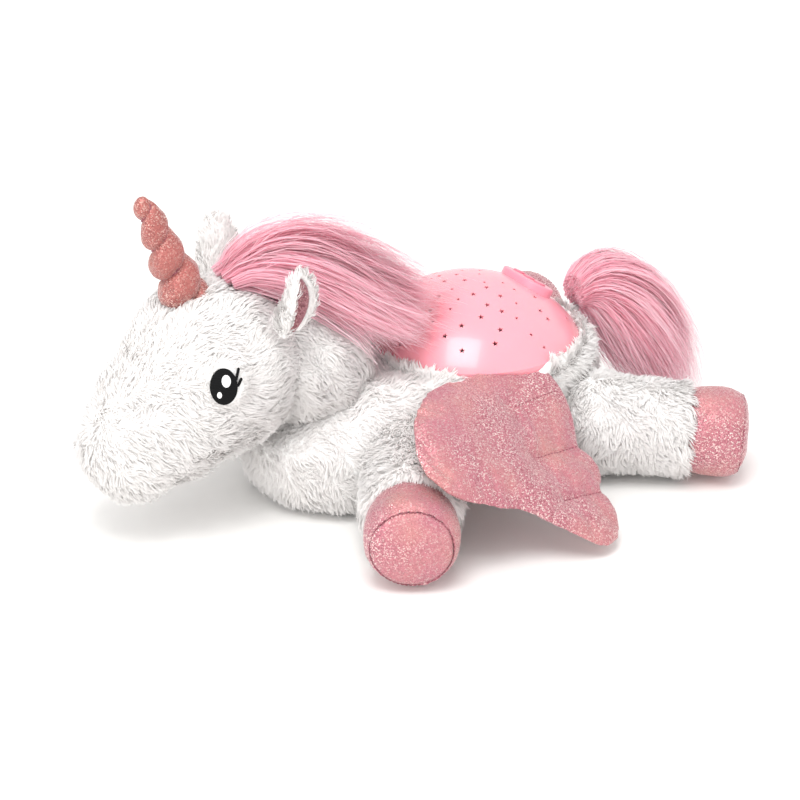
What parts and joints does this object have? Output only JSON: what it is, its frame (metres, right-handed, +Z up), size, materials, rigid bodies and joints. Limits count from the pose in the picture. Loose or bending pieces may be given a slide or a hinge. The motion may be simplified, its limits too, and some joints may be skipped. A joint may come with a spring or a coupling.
{
  "type": "plush unicorn night light",
  "caption": "Stuffed plush unicorn lying on its belly with glitter hooves, horn and wings, long pile mane and tail, and a star-hole projector dome set into its back.",
  "frame": {"origin": "on the floor under the middle of the toy's overall box", "axes": "+Z up, the head points to -X, the tail to +X, the toy's left side is -Y"},
  "size_m": [0.3884, 0.3252, 0.201],
  "materials": {
    "plush_white": "short pile plush",
    "fibre_filling": "polyester fibre",
    "plush_hem": "gathered plush casing",
    "glitter_rose": "metallic glitter fabric",
    "glitter_lining": "metallic glitter fabric",
    "thread_black": "satin stitch embroidery",
    "thread_white": "satin stitch embroidery",
    "thread_rose": "polyester thread",
    "pile_pink": "long pile",
    "backing_pink": "knitted backing",
    "shell_pink": "gloss",
    "panel_pink": "gloss",
    "button_pink": "satin",
    "clear_cap": "clear",
    "circuit_board": "solder resist",
    "switch_black": "moulded",
    "housing_white": "fine spark texture",
    "screw_steel": "zinc plated",
    "cell_jacket": "printed film",
    "contact_plate": "nickel plated",
    "led_clear": "clear epoxy"
  },
  "bodies": {
    "body": {"body_skin": "plush_white", "body_stuffing": "fibre_filling", "dome_hem": "plush_hem", "dome_shell": "shell_pink", "dome_liner": "clear_cap", "control_panel": "panel_pink", "button_board": "circuit_board", "tact_switches": "switch_black", "base_tray": "housing_white", "dome_ring": "housing_white", "base_screws": "screw_steel", "batteries": "cell_jacket", "battery_contacts": "contact_plate", "lamp_board": "circuit_board", "lamp_leds": "led_clear", "lamp_reflector": "housing_white"},
    "neck": {"neck_skin": "plush_white", "neck_stuffing": "fibre_filling"},
    "head": {"head_skin": "plush_white", "head_stuffing": "fibre_filling", "eye_left": "thread_black", "eye_right": "thread_black", "eye_glints_left": "thread_white", "eye_glints_right": "thread_white", "mane_backing": "backing_pink", "mane_hair": "pile_pink"},
    "horn": {"horn_cover": "glitter_rose", "horn_stuffing": "fibre_filling", "horn_thread": "thread_rose"},
    "ear_left": {"ear_left_outer": "plush_white", "ear_left_lining": "glitter_lining"},
    "ear_right": {"ear_right_outer": "plush_white", "ear_right_lining": "glitter_lining"},
    "front_left_leg": {"front_left_leg_skin": "plush_white", "front_left_leg_stuffing": "fibre_filling", "front_left_hoof_sock": "glitter_rose", "front_left_hoof_sole": "glitter_rose"},
    "front_right_leg": {"front_right_leg_skin": "plush_white", "front_right_leg_stuffing": "fibre_filling", "front_right_hoof_sock": "glitter_rose", "front_right_hoof_sole": "glitter_rose"},
    "rear_left_leg": {"rear_left_leg_skin": "plush_white", "rear_left_leg_stuffing": "fibre_filling", "rear_left_hoof_sock": "glitter_rose", "rear_left_hoof_sole": "glitter_rose"},
    "rear_right_leg": {"rear_right_leg_skin": "plush_white", "rear_right_leg_stuffing": "fibre_filling", "rear_right_hoof_sock": "glitter_rose", "rear_right_hoof_sole": "glitter_rose"},
    "wing_left": {"wing_left_cover": "glitter_rose", "wing_left_wadding": "fibre_filling"},
    "wing_right": {"wing_right_cover": "glitter_rose", "wing_right_wadding": "fibre_filling"},
    "tail": {"tail_hair": "pile_pink", "tail_core": "backing_pink"},
    "button_timer": {"button_timer": "button_pink"},
    "button_power": {"button_power": "button_pink"},
    "button_colour": {"button_colour": "button_pink"},
    "battery_door": {"battery_door": "housing_white"},
    "door_screw": {"door_screw": "screw_steel"}
  },
  "joints": [
    {"name": "head_turn", "type": "hinge", "parent": "body", "child": "neck", "pos_m": [-0.053, 0, 0.086], "axis": [0, 0, 1], "range_deg": [-12, 12], "stiffness_Nm_per_rad": 1},
    {"name": "head_nod", "type": "hinge", "parent": "neck", "child": "head", "pos_m": [-0.053, 0, 0.086], "axis": [0, 1, 0], "range_deg": [-4, 10], "stiffness_Nm_per_rad": 1.5, "springref_deg": 2.86},
    {"name": "horn_bend", "type": "hinge", "parent": "head", "child": "horn", "pos_m": [-0.124, 0, 0.137], "axis": [0, 1, 0], "range_deg": [-10, 10], "stiffness_Nm_per_rad": 0.1},
    {"name": "ear_left_fold", "type": "hinge", "parent": "head", "child": "ear_left", "pos_m": [-0.0865, -0.038, 0.129], "axis": [1, 0, 0], "range_deg": [-10, 10], "stiffness_Nm_per_rad": 0.02},
    {"name": "ear_right_fold", "type": "hinge", "parent": "head", "child": "ear_right", "pos_m": [-0.0865, 0.038, 0.129], "axis": [1, 0, 0], "range_deg": [-10, 10], "stiffness_Nm_per_rad": 0.02},
    {"name": "front_left_leg_swing", "type": "hinge", "parent": "body", "child": "front_left_leg", "pos_m": [-0.013, -0.056, 0.033], "axis": [0, 0, -1], "range_deg": [0, 20], "stiffness_Nm_per_rad": 0.3},
    {"name": "rear_left_leg_swing", "type": "hinge", "parent": "body", "child": "rear_left_leg", "pos_m": [0.111, -0.067, 0.033], "axis": [0, 0, -1], "range_deg": [-4, 18], "stiffness_Nm_per_rad": 0.3},
    {"name": "wing_left_lift", "type": "hinge", "parent": "body", "child": "wing_left", "pos_m": [0.0352, -0.0672, 0.075], "axis": [-0.9338, 0.3579, 0], "range_deg": [0, 50]},
    {"name": "front_right_leg_swing", "type": "hinge", "parent": "body", "child": "front_right_leg", "pos_m": [-0.013, 0.056, 0.033], "axis": [0, 0, 1], "range_deg": [0, 20], "stiffness_Nm_per_rad": 0.3},
    {"name": "rear_right_leg_swing", "type": "hinge", "parent": "body", "child": "rear_right_leg", "pos_m": [0.111, 0.067, 0.033], "axis": [0, 0, 1], "range_deg": [-4, 18], "stiffness_Nm_per_rad": 0.3},
    {"name": "wing_right_lift", "type": "hinge", "parent": "body", "child": "wing_right", "pos_m": [0.0352, 0.0672, 0.075], "axis": [0.9338, 0.3579, 0], "range_deg": [0, 50]},
    {"name": "tail_swing", "type": "hinge", "parent": "body", "child": "tail", "pos_m": [0.138, 0, 0.087], "axis": [0, 0, 1], "range_deg": [-12, 12], "stiffness_Nm_per_rad": 0.05},
    {"name": "button_timer_press", "type": "slide", "parent": "body", "child": "button_timer", "axis": [-0.506, 0, -0.8625], "range_m": [0, 0.001], "stiffness_N_per_m": 400, "springref_m": -0.0004},
    {"name": "button_power_press", "type": "slide", "parent": "body", "child": "button_power", "axis": [-0.506, 0, -0.8625], "range_m": [0, 0.001], "stiffness_N_per_m": 400, "springref_m": -0.0004},
    {"name": "button_colour_press", "type": "slide", "parent": "body", "child": "button_colour", "axis": [-0.506, 0, -0.8625], "range_m": [0, 0.001], "stiffness_N_per_m": 400, "springref_m": -0.0004},
    {"name": "battery_door_slide", "type": "slide", "parent": "body", "child": "battery_door", "axis": [0, 0, -1], "range_m": [0, 0.015]},
    {"name": "door_screw_turn", "type": "hinge", "parent": "battery_door", "child": "door_screw", "pos_m": [0.061, 0.031, 0.012], "axis": [0, 0, 1], "continuous": true}
  ]
}
